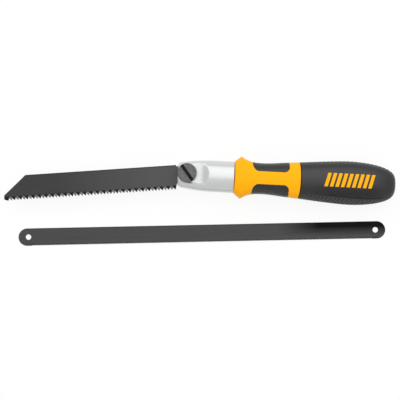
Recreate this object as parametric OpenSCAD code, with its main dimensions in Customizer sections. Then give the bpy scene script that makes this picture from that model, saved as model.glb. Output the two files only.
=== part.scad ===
// Flush cut saw lying on its side beside its spare hacksaw blade.
// X runs along the handle towards its butt, Y is up the blade's back and Z is up from the table.
// The pieces are drawn about the clamp axis, with the blade's middle plane at Z 0, and placed at the end.

/* [Wood blade] */
// Distance from the clamp axis to the tip of the blade
blade_reach = 132.6; // [110:0.1:170]
// Length of the slanted nose, measured along the blade
nose_len = 16.1; // [8:0.1:24]
// Height of the blade's back above the clamp axis
blade_back = 6.8; // [6.6:0.1:8]
// Depth of the tooth tips below the clamp axis
blade_edge = 11; // [8.5:0.1:12]
// Depth of the nose's lower corner below the clamp axis
nose_drop = 7.0; // [5:0.1:7.4]
// Thickness of the blade
blade_t = 1.27; // [0.8:0.01:1.6]
// Angle by which the blade droops from the handle's axis
blade_droop = 6.7; // [0:0.1:8]
// Distance from the shoulder of the blade to the first tooth
tooth_lead = 1.4; // [1.2:0.1:6]
// Distance from one tooth to the next
tooth_pitch = 2.32; // [1.6:0.01:3.4]
// Depth of the teeth
tooth_depth = 1.75; // [1:0.05:2.4]
// Distance from the head's front to the shoulder of the blade
shoulder_gap = 0.85; // [0.4:0.05:2]
// Length of the tang behind the clamp axis
tang_len = 23; // [14:0.5:23.5]

/* [Spare hacksaw blade] */
// Distance between the centres of the two holes
hack_mount_len = 254; // [200:1:305]
// Width of the spare blade
hack_w = 12.7; // [10:0.1:13]
// Thickness of the spare blade
hack_t = 0.65; // [0.5:0.05:0.8]
// Diameter of the holes
hack_hole_d = 4; // [3:0.1:5]
// Distance from a hole to the end of the spare blade
hack_end_len = 7.3; // [6:0.1:9]
// Distance between its teeth
hack_pitch = 1.06; // [0.8:0.01:1.8]
// Depth of its teeth
hack_tooth = 0.5; // [0.3:0.05:0.8]
// Place of its middle along the handle, from the clamp axis
hack_x = 12.8; // [0:0.1:30]
// Place of its middle beside the handle's axis
hack_y = -41.5; // [-70:0.5:-38]
// Angle between it and the handle's axis
hack_turn = 4.1; // [0:0.1:5]

/* [Clamp head] */
// Distance from the clamp axis to the front of the head
head_front = 6.75; // [6:0.05:7]
// Distance from the clamp axis to the back of the head
head_back = 33.7; // [31:0.1:40]
// Height of the head at its front
head_front_tall = 17.4; // [17:0.1:20]
// Height of the head at its back
head_tall = 22.4; // [20:0.1:24]
// Thickness of the head at its front
head_front_thick = 17.6; // [16:0.1:19]
// Thickness of the head at its back
head_thick = 22.4; // [20:0.1:23]
// Height of the clamp axis above the handle's axis
clamp_up = 0.9; // [0:0.1:1.5]
// Height of the pocket's floor above the blade's middle plane
pocket_floor = 7.8; // [5:0.1:8]
// Distance from the clamp axis to the end of the pocket's flat floor
pocket_flat = 11; // [9:0.1:14]
// Length of the ramp at the pocket's end
pocket_ramp = 4.8; // [2:0.1:6]
// Length of the shank inside the handle
shank_len = 54; // [40:1:80]
// Height of the shank
shank_tall = 13; // [10:0.5:14]
// Thickness of the shank, both halves together
shank_thick = 10; // [8:0.5:14]
// Diameter of the dowels that line the halves up
dowel_d = 3; // [2:0.1:4]
// Length of a dowel
dowel_len = 8; // [5:0.5:12]
// Distance of the dowels from the handle's axis
dowel_off = 6.5; // [5:0.1:7]

/* [Clamp screw] */
// Diameter of the screw's head
screw_head_d = 13.8; // [11:0.1:14]
// Thickness of the screw's head
screw_head_t = 2.5; // [2.4:0.1:4]
// Length of the shank
screw_len = 17.8; // [17.4:0.1:18.6]
// Width of the coin slot
coin_slot_w = 2.1; // [1.2:0.1:3]
// Depth of the coin slot
coin_slot_deep = 1.2; // [0.8:0.1:1.8]
// Angle of the coin slot, turned from the handle's axis
coin_slot_turn = -52; // [-90:1:90]
// Outer diameter of the spring washer
washer_d = 7.6; // [6.5:0.1:9]
// Thickness of the spring washer
washer_t = 0.9; // [0.6:0.1:1.2]
// Width of the nut across its flats
nut_flats = 7; // [6:0.1:8]
// Thickness of the nut
nut_t = 3.2; // [2.4:0.1:4]

/* [Handle] */
// Length from the front of the collar to the peak of the finger guard
collar_len = 4.8; // [3:0.1:8]
// Length from the peak of the finger guard to the waist
neck_len = 15.5; // [12:0.1:20]
// Length from the waist to the widest place of the palm swell
palm_len = 62.8; // [56:0.1:72]
// Length from the palm swell to the butt
butt_len = 32.7; // [26:0.1:42]
// Height of the collar at its front
collar_tall = 22.7; // [22:0.1:25]
// Height over the finger guard
guard_tall = 30.7; // [26:0.1:34]
// Height of the waist
waist_tall = 22.3; // [20:0.1:24]
// Height of the palm swell
swell_tall = 31.4; // [27:0.1:36]
// Width of the collar at its front
collar_wide = 23.2; // [22:0.1:25]
// Width over the finger guard
guard_wide = 25.6; // [24:0.1:26]
// Width of the waist
waist_wide = 24; // [23:0.1:25]
// Width of the palm swell, which with the badge on both sides is the guard's, so that the saw lies level
swell_wide = 25; // [24:0.1:26]

/* [Soft grip] */
// Thickness of the rubber on the palm swell
rubber_t = 2.4; // [1.5:0.1:3]
// Thickness of the rubber at the butt
butt_rubber = 3; // [2:0.1:5]
// Length of the yellow ring between the finger pads and the palm rubber
ring_len = 7.6; // [5:0.1:12]
// Thickness of the finger pads
pad_t = 2.2; // [1.2:0.1:2.4]
// Distance from the peak of the finger guard to the front end of the finger pads
pad_lead = 7.9; // [6:0.1:12]
// Length of the finger pads
pad_len = 26.3; // [20:0.1:30]
// Length of the rounding at the front end of the pads
pad_nose = 4.7; // [3:0.1:8]
// Rounding of the pads' back corners
pad_corner = 3.9; // [1:0.1:4.5]
// Height of the yellow web between the pads
web_tall = 9.2; // [8:0.1:13]
// Number of slanted bars in the badge
badge_bars = 9; // [5:1:9]
// Distance from one bar to the next
badge_pitch = 3.9; // [3.4:0.1:4.4]
// Distance of the badge's middle in front of the widest place of the palm swell
badge_ahead = 1.3; // [0:0.1:4]
// Height of the badge's middle above the handle's axis
badge_up = 1; // [0:0.1:2]
// Width of one bar
badge_bar_w = 2.5; // [1.6:0.1:3]
// Height of the bars
badge_tall = 9.8; // [6:0.1:11]
// Lean of the bars, from bottom to top
badge_lean = 2.6; // [0:0.1:4]
// Depth to which the bars are set in the rubber
badge_deep = 1.2; // [0.6:0.1:1.4]
// Height of the bars above the rubber
badge_proud = 0.3; // [0.1:0.05:0.5]

/* [Hidden] */

// Clearances
blade_gap = 0.05;
channel_gap = 0.15;
tang_gap = 0.6;
channel_end_gap = 1;
shank_ease = 0.1;
collar_gap = 0.2;
screw_gap = 0.2;
thread_gap = 0.04;
pocket_gap = 0.3;
seat_gap = 0.03;
overrun = 1;

// Shares that shape the outlines
section_power = 2.4;
butt_power = 1.8;
butt_root = 3.7;
butt_cut_share = 0.997;
guard_fall_power = 2.8;
swell_rise_shares = [[0, 0], [0.28, 0.29], [0.46, 0.485], [0.74, 0.82], [1, 1]];
nose_blunt_share = 0.75;
tooth_face_share = 0.2;
head_corner_share = 0.3;
head_blend_share = 0.6;
head_corner_power = 2.2;
screw_bevel_share = 0.12;

// Facets of the lofted shapes and of round holes
section_sides = 44;
round_sides = 48;
corner_steps = 6;
collar_steps = 2;
neck_steps = 8;
palm_steps = 9;
butt_steps = 10;

// Small sizes of the clamp's pieces
pocket_corner = 4;
washer_split = 0.8;
shank_notch_lead = 26;
shank_notch_len = 6;
shank_notch_deep = 1.5;
dowel_back = 4.2;

// Places that follow from the sizes above
collar_at = head_back + collar_gap;
guard_at = collar_at + collar_len;
waist_at = guard_at + neck_len;
swell_at = waist_at + palm_len;
butt_at = swell_at + butt_len;
pad_front = guard_at + pad_lead;
pad_back = pad_front + pad_len;
rubber_at = pad_back + ring_len;
shoulder_at = head_front + shoulder_gap;
tooth_start = shoulder_at + tooth_lead;
slot_t = blade_t + 2 * blade_gap;
parting_z = slot_t / 2;
channel_half = hack_w / 2 + channel_gap;
channel_end = tang_len + channel_end_gap;
tang_half = channel_half - tang_gap;
screw_d = hack_hole_d - shank_ease;
screw_hole_r = screw_d / 2 + screw_gap;
nut_recess_flats = nut_flats + 2 * seat_gap;
screw_seat_z = pocket_floor + washer_t;
screw_tip_z = screw_seat_z - screw_len;
nut_top_z = screw_tip_z + nut_t;
shank_end = head_back + shank_len;
badge_at = swell_at - badge_ahead;
dowel_at = head_back - dowel_back;
core_end = butt_at - butt_rubber;
tooth_count = floor((blade_reach - tooth_start - tooth_pitch / 2) / tooth_pitch) + 1;
hack_len = hack_mount_len + 2 * hack_end_len;
hack_tooth_count = floor((hack_mount_len - hack_hole_d) / hack_pitch);
facet_share = pow(cos(180 / section_sides), 2 / section_power);
lift = (max(guard_wide, swell_wide + 2 * badge_proud) / 2) * facet_share;
reach_left = blade_reach * cos(blade_droop) - nose_drop * sin(blade_droop);
reach_down = -hack_y + (hack_len - hack_w) / 2 * sin(hack_turn) + hack_w / 2;
reach_up = max(guard_tall, swell_tall) / 2 * facet_share;
origin = [(butt_at - reach_left) / 2, (reach_up - reach_down) / 2, -lift];

function lerp(a, b, t) = a + (b - a) * t;
function rounded(c) = sign(c) * pow(abs(c), 2 / section_power);

// Height reached at t on a smooth curve through hand-picked [place, height] pairs
function slope(p, i) = i == 0 || i == len(p) - 1 ? 0
    : (p[i + 1][1] - p[i - 1][1]) / (p[i + 1][0] - p[i - 1][0]);
function span(p, t, i = 0) = i >= len(p) - 2 || t <= p[i + 1][0] ? i : span(p, t, i + 1);
function hermite(p, i, s, w) =
    (1 + 2 * s) * pow(1 - s, 2) * p[i][1] + s * pow(1 - s, 2) * w * slope(p, i)
    + s * s * (3 - 2 * s) * p[i + 1][1] + s * s * (s - 1) * w * slope(p, i + 1);
function along(p, t) = let (i = span(p, t), w = p[i + 1][0] - p[i][0]) hermite(p, i, (t - p[i][0]) / w, w);

// Half of the handle's height or width at x, given its values at the four named places
function grip_half(x, collar, guard, waist, swell) =
    x < guard_at ? lerp(collar, guard, (x - collar_at) / (guard_at - collar_at))
    : x < waist_at ? waist + (guard - waist) * pow((waist_at - x) / (waist_at - guard_at), guard_fall_power)
    : x < swell_at ? lerp(waist, swell, along(swell_rise_shares, (x - waist_at) / (swell_at - waist_at)))
    : swell * pow(1 - pow((x - swell_at) / (butt_at - swell_at) * butt_cut_share, butt_power), 1 / butt_root);
function grip_up(x) = grip_half(x, collar_tall, guard_tall, waist_tall, swell_tall) / 2;
function grip_out(x) = grip_half(x, collar_wide, guard_wide, waist_wide, swell_wide) / 2;

// Half of the head's height or thickness at x: a rounded front end, then a smooth widening
function head_corner(t) = 1 - pow(1 - pow(1 - t, head_corner_power), 1 / head_corner_power);
function head_half(x, front, back) =
    let (corner = front * head_corner_share, t = min((x + head_front) / corner, 1),
        s = min((x + head_front) / ((head_front + head_back) * head_blend_share), 1))
    lerp(front, back, sin(90 * s)) - corner * head_corner(t);

function section(x, up, out) = [for (i = [0:section_sides - 1])
    let (a = 360 * (i + 0.5) / section_sides) [x, up * rounded(cos(a)), out * rounded(sin(a))]];

function steps(from, to, count) = [for (i = [0:count - 1]) lerp(from, to, i / count)];
function rounding_steps(from, to, count) = [for (i = [0:count]) lerp(from, to, sin(90 * i / count))];

// Closed solid through a row of sections with equal counts of points
module loft(rings) {
    n = len(rings[0]);
    last = len(rings) - 1;
    sides = [for (i = [0:last - 1], j = [0:n - 1])
        let (a = i * n + j, b = i * n + (j + 1) % n) each [[a, a + n, b + n], [a, b + n, b]]];
    caps = [[for (j = [0:n - 1]) j], [for (j = [n - 1:-1:0]) last * n + j]];
    polyhedron(points = [for (ring = rings) each ring], faces = concat(sides, caps));
}

// The handle's outer form between two places, shrunk on every side by inset
grip_stations = concat(steps(collar_at, guard_at, collar_steps), steps(guard_at, waist_at, neck_steps),
    steps(waist_at, swell_at, palm_steps), rounding_steps(swell_at, butt_at, butt_steps));
module grip_form(from, to, inset) {
    inner = [for (x = grip_stations) if (x > from && x < to) x];
    loft([for (x = concat([from], inner, [to])) section(x, grip_up(x) - inset, grip_out(x) - inset)]);
}

// The head's outer form
head_corner_len = head_front_tall / 2 * head_corner_share;
head_stations = concat(
    [for (i = [0:corner_steps - 1]) -head_front + head_corner_len * (1 - cos(90 * i / corner_steps))],
    [for (i = [0:corner_steps]) lerp(-head_front + head_corner_len, head_back, i / corner_steps)]);
function head_up(x) = head_half(x, head_front_tall / 2, head_tall / 2);
function head_out(x) = head_half(x, head_front_thick / 2, head_thick / 2);
module head_form() {
    loft([for (x = head_stations) section(x, head_up(x), head_out(x))]);
}

module place() {
    translate(-origin)
        children();
}

module at_clamp() {
    translate([0, clamp_up, 0])
        children();
}

// Everything on the outer side of a plane across Z, or on the inner side when mirrored
module slab(z, up) {
    size = butt_at + blade_reach;
    translate([-size, -size, up ? z : z - size])
        cube([2 * size, 2 * size, size]);
}

// Side outline of the wood blade, with its tip towards -X
function blade_outline() =
    let (root = -blade_edge + tooth_depth)
    concat(
        [[tang_len, tang_half], [-shoulder_at, tang_half], [-shoulder_at, blade_back]],
        [[nose_len - blade_reach, blade_back]],
        [[-blade_reach, -nose_drop], [-blade_reach, lerp(-nose_drop, -blade_edge, nose_blunt_share)]],
        [for (i = [tooth_count - 1:-1:0]) let (x = tooth_start + i * tooth_pitch) each
            [[-x, -blade_edge], [-x + tooth_pitch * tooth_face_share, root]]],
        [[-shoulder_at, -tang_half], [tang_len, -tang_half]]);

module wood_blade() {
    color([0.31, 0.31, 0.32])
        place() at_clamp() rotate([0, 0, blade_droop]) difference() {
            translate([0, 0, -blade_t / 2])
                linear_extrude(blade_t)
                    polygon(blade_outline());
            cylinder(r = screw_hole_r, h = blade_t + 2 * overrun, center = true, $fn = round_sides);
            translate([0, -screw_hole_r, -blade_t / 2 - overrun])
                cube([tang_len + overrun, 2 * screw_hole_r, blade_t + 2 * overrun]);
        }
}

// Side outline of the spare blade: a straight back, rounded ends and fine teeth below
function round_end(x, r, from) = [for (i = [0:2 * corner_steps])
    let (a = from - 90 * i / corner_steps) [x + r * cos(a), r * sin(a)]];
function hack_outline() =
    let (r = hack_w / 2, end = hack_len / 2 - r, first = hack_tooth_count * hack_pitch / 2)
    concat(
        round_end(end, r, 90),
        [for (i = [0:hack_tooth_count - 1]) let (x = first - i * hack_pitch) each
            [[x, -r], [x - hack_pitch * tooth_face_share, hack_tooth - r]]],
        round_end(-end, r, 270));

module spare_hacksaw_blade() {
    color([0.27, 0.27, 0.28])
        translate([hack_x - origin[0], hack_y - origin[1], 0]) rotate([0, 0, hack_turn]) difference() {
            linear_extrude(hack_t)
                polygon(hack_outline());
            for (side = [-1, 1])
                translate([side * hack_mount_len / 2, 0, -overrun])
                    cylinder(d = hack_hole_d, h = hack_t + 2 * overrun, $fn = round_sides);
        }
}

// Shank of the head, grown on every side by gap
function shank_edge(gap) =
    let (half = shank_tall / 2 + gap, notch = half - shank_notch_deep,
        from = head_back + shank_notch_lead + gap, to = from + shank_notch_len - 2 * gap)
    [[from, half], [from, notch], [to, notch], [to, half], [shank_end + gap, half]];
module shank_form(gap) {
    edge = shank_edge(gap);
    mirrored = [for (i = [len(edge) - 1:-1:0]) [edge[i][0], -edge[i][1]]];
    start = head_back - overrun;
    half = shank_tall / 2 + gap;
    translate([0, 0, -shank_thick / 2 - gap])
        linear_extrude(shank_thick + 2 * gap)
            polygon(concat([[start, half]], edge, mirrored, [[start, -half]]));
}

module dowel_pair(d, from, to) {
    for (side = [-1, 1])
        translate([dowel_at, side * dowel_off, from])
            cylinder(d = d, h = to - from, $fn = round_sides);
}
dowel_top = parting_z + dowel_len / 2;
dowel_bottom = parting_z - dowel_len / 2;

// Pocket around the screw's head: a flat floor that ramps up to the head's face
module pocket() {
    half = screw_head_d / 2 + pocket_gap;
    end = pocket_flat + pocket_ramp;
    front = -head_front - 2 * overrun;
    top = head_thick / 2;
    ramp_slope = (top - pocket_floor) / pocket_ramp;
    intersection() {
        linear_extrude(head_thick) {
            translate([-head_front - overrun, -half])
                square([head_front + overrun + end - pocket_corner, 2 * half]);
            translate([0, pocket_corner - half])
                square([end, 2 * (half - pocket_corner)]);
            for (side = [-1, 1])
                translate([end - pocket_corner, side * (half - pocket_corner)])
                    circle(r = pocket_corner, $fn = round_sides);
        }
        translate([0, half + overrun, 0])
            rotate([90, 0, 0])
                linear_extrude(2 * (half + overrun))
                    polygon([[front, pocket_floor], [pocket_flat, pocket_floor],
                        [end + overrun, top + overrun * ramp_slope],
                        [end + overrun, head_thick], [front, head_thick]]);
    }
}

module head_front_half() {
    color([0.80, 0.81, 0.80])
        place() difference() {
            union() {
                head_form();
                shank_form(0);
            }
            slab(parting_z, false);
            at_clamp() pocket();
            at_clamp() cylinder(r = screw_hole_r, h = head_thick, $fn = round_sides);
            dowel_pair(dowel_d + 2 * seat_gap, parting_z - overrun, dowel_top + seat_gap);
        }
}

module head_rear_half() {
    color([0.76, 0.77, 0.77])
        place() difference() {
            union() {
                head_form();
                shank_form(0);
            }
            slab(parting_z, true);
            at_clamp() rotate([0, 0, blade_droop])
                translate([-head_front - channel_half, -channel_half, -parting_z])
                    cube([head_front + channel_half + channel_end, 2 * channel_half, slot_t + overrun]);
            at_clamp() translate([0, 0, -head_thick])
                cylinder(r = screw_hole_r, h = head_thick, $fn = round_sides);
            at_clamp() translate([0, 0, -head_thick])
                cylinder(d = nut_recess_flats / cos(30), h = head_thick + nut_top_z, $fn = 6);
            dowel_pair(dowel_d + 2 * seat_gap, dowel_bottom - seat_gap, parting_z + overrun);
        }
}

module clamp_screw() {
    bevel = screw_head_t * screw_bevel_share;
    r = screw_head_d / 2;
    top = screw_seat_z + screw_head_t;
    color([0.42, 0.42, 0.42])
        place() at_clamp() difference() {
            rotate_extrude($fn = round_sides)
                polygon([[0, screw_tip_z], [screw_d / 2 - bevel, screw_tip_z],
                    [screw_d / 2, screw_tip_z + bevel], [screw_d / 2, screw_seat_z],
                    [r - bevel, screw_seat_z], [r, screw_seat_z + bevel],
                    [r, top - bevel], [r - bevel, top], [0, top]]);
            rotate([0, 0, coin_slot_turn])
                translate([-r - overrun, -coin_slot_w / 2, top - coin_slot_deep])
                    cube([2 * (r + overrun), coin_slot_w, coin_slot_deep + overrun]);
        }
}

module spring_washer() {
    color([0.62, 0.62, 0.63])
        place() at_clamp() translate([0, 0, pocket_floor]) difference() {
            cylinder(d = washer_d, h = washer_t, $fn = round_sides);
            translate([0, 0, -overrun])
                cylinder(r = screw_hole_r, h = washer_t + 2 * overrun, $fn = round_sides);
            translate([0, -washer_split / 2, -overrun])
                cube([washer_d, washer_split, washer_t + 2 * overrun]);
        }
}

module captive_nut() {
    color([0.66, 0.66, 0.67])
        place() at_clamp() translate([0, 0, screw_tip_z]) difference() {
            cylinder(d = nut_flats / cos(30), h = nut_t - seat_gap, $fn = 6);
            translate([0, 0, -overrun])
                cylinder(r = screw_d / 2 + thread_gap, h = nut_t + 2 * overrun, $fn = round_sides);
        }
}

module head_dowel_pins() {
    color([0.66, 0.66, 0.67])
        place() dowel_pair(dowel_d, dowel_bottom, dowel_top);
}

// Side outline of a finger pad, shrunk by gap, in the upper half (side 1) or the lower half (side -1)
function pad_outline(side, gap) =
    let (low = web_tall / 2 + gap, front = pad_front + gap, back = pad_back - gap, high = guard_tall)
    [for (p = concat(
        [[front, high]],
        [for (i = [0:corner_steps]) let (a = 90 * i / corner_steps)
            [front + pad_nose * (1 - cos(a)), lerp(waist_tall / 2, low, sin(a))]],
        [for (i = [0:corner_steps]) let (a = -90 + 90 * i / corner_steps)
            [back - pad_corner + pad_corner * cos(a), low + pad_corner + pad_corner * sin(a)]],
        [[back, high]])) [p[0], side * p[1]]];
module pad_prism(side, gap) {
    translate([0, 0, -guard_wide])
        linear_extrude(2 * guard_wide)
            polygon(pad_outline(side, gap));
}
module finger_pad(side) {
    color([0.23, 0.23, 0.24])
        place() intersection() {
            difference() {
                grip_form(pad_front - overrun, pad_back + overrun, 0);
                grip_form(pad_front - 2 * overrun, pad_back + 2 * overrun, pad_t);
            }
            pad_prism(side, seat_gap);
        }
}
module upper_finger_pad() { finger_pad(1); }
module lower_finger_pad() { finger_pad(-1); }

module handle_core() {
    color([0.99, 0.72, 0.09])
        place() difference() {
            union() {
                grip_form(collar_at, rubber_at, 0);
                grip_form(rubber_at - overrun, core_end, rubber_t + seat_gap);
            }
            difference() {
                union() {
                    pad_prism(1, 0);
                    pad_prism(-1, 0);
                }
                grip_form(pad_front - 2 * overrun, pad_back + 2 * overrun, pad_t + seat_gap);
            }
            shank_form(seat_gap);
        }
}

// Slanted bars of the badge, grown on every side by gap
module badge_prism(gap) {
    half = badge_bar_w / 2 + gap;
    tall = badge_tall / 2 + gap;
    for (i = [0:badge_bars - 1])
        translate([badge_at + (i - (badge_bars - 1) / 2) * badge_pitch, badge_up, 0])
            linear_extrude(swell_wide)
                polygon([[-half - badge_lean / 2, -tall], [half - badge_lean / 2, -tall],
                    [half + badge_lean / 2, tall], [-half + badge_lean / 2, tall]]);
}
module badge_span(inset) {
    half = badge_bars * badge_pitch / 2 + badge_lean;
    grip_form(badge_at - half, badge_at + half, inset);
}
module badge(side) {
    color([0.99, 0.76, 0.15])
        place() intersection() {
            difference() {
                badge_span(-badge_proud);
                badge_span(badge_deep);
            }
            mirror([0, 0, side < 0 ? 1 : 0])
                badge_prism(0);
        }
}
module front_badge_bars() { badge(1); }
module rear_badge_bars() { badge(-1); }

module palm_grip_sleeve() {
    color([0.25, 0.25, 0.26])
        place() difference() {
            grip_form(rubber_at, butt_at, 0);
            grip_form(rubber_at - overrun, core_end + seat_gap, rubber_t);
            difference() {
                for (side = [0, 1])
                    mirror([0, 0, side])
                        badge_prism(seat_gap);
                badge_span(badge_deep + seat_gap);
            }
        }
}

wood_blade();
spare_hacksaw_blade();
head_front_half();
head_rear_half();
clamp_screw();
spring_washer();
captive_nut();
head_dowel_pins();
handle_core();
palm_grip_sleeve();
upper_finger_pad();
lower_finger_pad();
front_badge_bars();
rear_badge_bars();
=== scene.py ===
"""Looks of the flush cut saw and its spare blade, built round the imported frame.

Sizes are in millimetres. Handle coordinates have X along the handle from the clamp axis towards the butt,
Y towards the blade's back and Z out of the blade's face, with Z 0 in the blade's middle plane.
"""
import math

import bmesh
import bpy
import numpy as np
from mathutils import Matrix, Vector


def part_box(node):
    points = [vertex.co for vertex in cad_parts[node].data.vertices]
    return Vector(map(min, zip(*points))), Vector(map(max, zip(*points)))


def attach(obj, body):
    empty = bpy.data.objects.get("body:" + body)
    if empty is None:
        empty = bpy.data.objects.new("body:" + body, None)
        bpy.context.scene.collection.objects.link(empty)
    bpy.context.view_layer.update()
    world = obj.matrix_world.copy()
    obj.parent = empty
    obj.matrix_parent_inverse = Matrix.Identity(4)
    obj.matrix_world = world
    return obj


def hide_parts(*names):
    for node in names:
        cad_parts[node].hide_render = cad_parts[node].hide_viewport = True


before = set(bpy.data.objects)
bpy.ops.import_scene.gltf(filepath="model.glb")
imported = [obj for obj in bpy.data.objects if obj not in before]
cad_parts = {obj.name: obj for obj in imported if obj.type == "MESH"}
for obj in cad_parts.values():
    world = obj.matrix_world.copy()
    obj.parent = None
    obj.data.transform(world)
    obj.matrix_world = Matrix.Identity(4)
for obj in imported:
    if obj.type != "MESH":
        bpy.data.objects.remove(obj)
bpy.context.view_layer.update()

MM = 0.001


def middle_mm(node):
    """Middle of a node's box, in millimetres."""
    low, high = (np.array(corner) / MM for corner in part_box(node))
    return (low + high) / 2


# Place of the handle's coordinates in the frame
CLAMP_UP = 0.9
CLAMP = middle_mm("clamp_screw")
HANDLE_PLACE = np.array([CLAMP[0], CLAMP[1] - CLAMP_UP, middle_mm("wood_blade")[2]])

# Handle, as in the part's source
HEAD_FRONT, HEAD_BACK = 6.75, 33.7
HEAD_FRONT_UP, HEAD_UP = 8.7, 11.2
HEAD_FRONT_OUT, HEAD_OUT = 8.8, 11.2
COLLAR_AT, GUARD_AT, WAIST_AT, SWELL_AT, BUTT_AT = 33.9, 38.7, 54.2, 117.0, 149.7
UP_HALVES = (11.35, 15.35, 11.15, 15.7)
OUT_HALVES = (11.6, 12.8, 12.0, 12.5)
PAD_FRONT, PAD_BACK, RUBBER_AT = 46.6, 72.9, 80.5
PAD_T, RUBBER_T, BUTT_RUBBER, SEAT_GAP = 2.2, 2.4, 3.0, 0.03
PAD_NOSE, PAD_CORNER, WEB_HALF, PAD_START_HALF = 4.7, 3.9, 4.6, 10.9
SHANK_END, SHANK_TALL, SHANK_THICK = 87.7, 13.0, 10.0
NOTCH_FROM, NOTCH_TO, NOTCH_DEEP = 59.7, 65.7, 1.5
SECTION_POWER, SECTION_SIDES = 2.4, 44
NECK_POWER, BUTT_POWER, BUTT_ROOT, BUTT_CUT = 2.8, 1.8, 3.7, 0.997
NOSE_CORNER_SHARE, NOSE_RISE_SHARE, NOSE_POWER = 0.3, 0.6, 2.2
FACET_SHARE = math.cos(math.pi / SECTION_SIDES) ** (2 / SECTION_POWER)
RISE_SHARES = ((0, 0), (0.28, 0.29), (0.46, 0.485), (0.74, 0.82), (1, 1))
RIDGE_REACH = 0.25


# Forms of the handle

def fade(distance, start, reach):
    """0 up to the start, rising evenly to 1 over the reach."""
    return np.clip((distance - start) / reach, 0, 1)


def rounded(c):
    """Cosine or sine of an angle, spread to the handle's section."""
    return np.sign(c) * np.abs(c) ** (2 / SECTION_POWER)


def along(points, t):
    """Height at t on a smooth curve through the points, flat at both ends."""
    places, heights = np.array(points, float).T
    slopes = np.zeros(len(points))
    slopes[1:-1] = (heights[2:] - heights[:-2]) / (places[2:] - places[:-2])
    i = np.clip(np.searchsorted(places, t) - 1, 0, len(points) - 2)
    width = places[i + 1] - places[i]
    s = (t - places[i]) / width
    return ((1 + 2 * s) * (1 - s) ** 2 * heights[i] + s * (1 - s) ** 2 * width * slopes[i]
            + s * s * (3 - 2 * s) * heights[i + 1] + s * s * (s - 1) * width * slopes[i + 1])


def grip_half(x, halves):
    """Half of the handle's height or width at x."""
    collar, guard, waist, swell = halves
    neck = 1 - fade(x, GUARD_AT, WAIST_AT - GUARD_AT)
    rise = along(RISE_SHARES, fade(x, WAIST_AT, SWELL_AT - WAIST_AT))
    fall = fade(x, SWELL_AT, BUTT_AT - SWELL_AT) * BUTT_CUT
    return np.select(
        [x < GUARD_AT, x < WAIST_AT, x < SWELL_AT],
        [collar + (guard - collar) * (x - COLLAR_AT) / (GUARD_AT - COLLAR_AT),
         waist + (guard - waist) * neck ** NECK_POWER,
         waist + (swell - waist) * rise],
        swell * (1 - fall ** BUTT_POWER) ** (1 / BUTT_ROOT))


def grip_halves(x):
    """Halves of the handle's height and width at x, with the ridges rounded."""
    offsets = np.linspace(-RIDGE_REACH, RIDGE_REACH, 7)
    return [sum(grip_half(np.clip(x + o, COLLAR_AT, BUTT_AT), halves) for o in offsets)
            / len(offsets) * FACET_SHARE for halves in (UP_HALVES, OUT_HALVES)]


def head_half(x, front, back):
    """Half of the head's height or width at x."""
    corner = front * NOSE_CORNER_SHARE
    from_nose = 1 - fade(x, -HEAD_FRONT, corner)
    rise = fade(x, -HEAD_FRONT, (HEAD_FRONT + HEAD_BACK) * NOSE_RISE_SHARE)
    cut_off = 1 - (1 - from_nose ** NOSE_POWER) ** (1 / NOSE_POWER)
    return front + (back - front) * np.sin(math.pi / 2 * rise) - corner * cut_off


# Mesh builders

# Points nearer than this, in metres, are joined
SAME_PLACE = 1e-7
# How a net settles: nudge that gives the slope, in millimetres, passes, and longest move in cells
NET_NUDGE, NET_PASSES, NET_MOVE_SHARE = 1e-3, 3, 0.4
# Least slope squared and least move by which anything is divided
LEAST_SQUARE, LEAST_MOVE = 1e-6, 1e-9


def in_scene(name, data):
    """A new object of that data in the scene."""
    obj = bpy.data.objects.new(name, data)
    bpy.context.scene.collection.objects.link(obj)
    return obj


def new_piece(name, verts, faces, materials, body, slot_name, node,
              sharp=35, face_materials=None, attributes=None):
    """A shaded piece from points in the handle's coordinates; sharp is in degrees."""
    mesh = bpy.data.meshes.new(name)
    points = (np.asarray(verts, float) + HANDLE_PLACE) * MM
    mesh.from_pydata(points.tolist(), [], faces)
    for m in materials:
        mesh.materials.append(m)
    if face_materials is not None:
        mesh.polygons.foreach_set("material_index", np.asarray(face_materials, np.int32))
    for key, values in (attributes or {}).items():
        layer = mesh.attributes.new(key, "FLOAT", "POINT")
        layer.data.foreach_set("value", np.asarray(values, np.float32))
    work = bmesh.new()
    work.from_mesh(mesh)
    bmesh.ops.remove_doubles(work, verts=work.verts, dist=SAME_PLACE)
    bmesh.ops.recalc_face_normals(work, faces=work.faces)
    if work.calc_volume(signed=True) < 0:
        bmesh.ops.reverse_faces(work, faces=work.faces)
    work.to_mesh(mesh)
    work.free()
    mesh.shade_smooth()
    mesh.set_sharp_from_angle(angle=math.radians(sharp))
    obj = in_scene(name, mesh)
    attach(obj, body)
    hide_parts(node)


def loft(rings):
    """Closed skin through rings of equal counts, with a fan at each end."""
    rings = np.asarray(rings, float)
    m, n = rings.shape[:2]
    verts = np.concatenate([rings.reshape(-1, 3), rings[:1].mean(1), rings[-1:].mean(1)])
    here = np.arange(m * n).reshape(m, n)
    after = np.roll(here, -1, 1)
    quads = np.stack([here[:-1], here[1:], after[1:], after[:-1]], -1).reshape(-1, 4)
    first = np.stack([after[0], here[0], np.full(n, m * n)], -1)
    last = np.stack([here[-1], after[-1], np.full(n, m * n + 1)], -1)
    return verts, [*quads.tolist(), *first.tolist(), *last.tolist()]


def smooth_max(a, b, reach):
    """The larger of a and b, with the ridge between them rounded over reach."""
    h = np.maximum(reach - np.abs(a - b), 0) / reach
    return np.maximum(a, b) + h * h * reach / 4


def cut(solid, tool, reach):
    return smooth_max(solid, -tool, reach)


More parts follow.
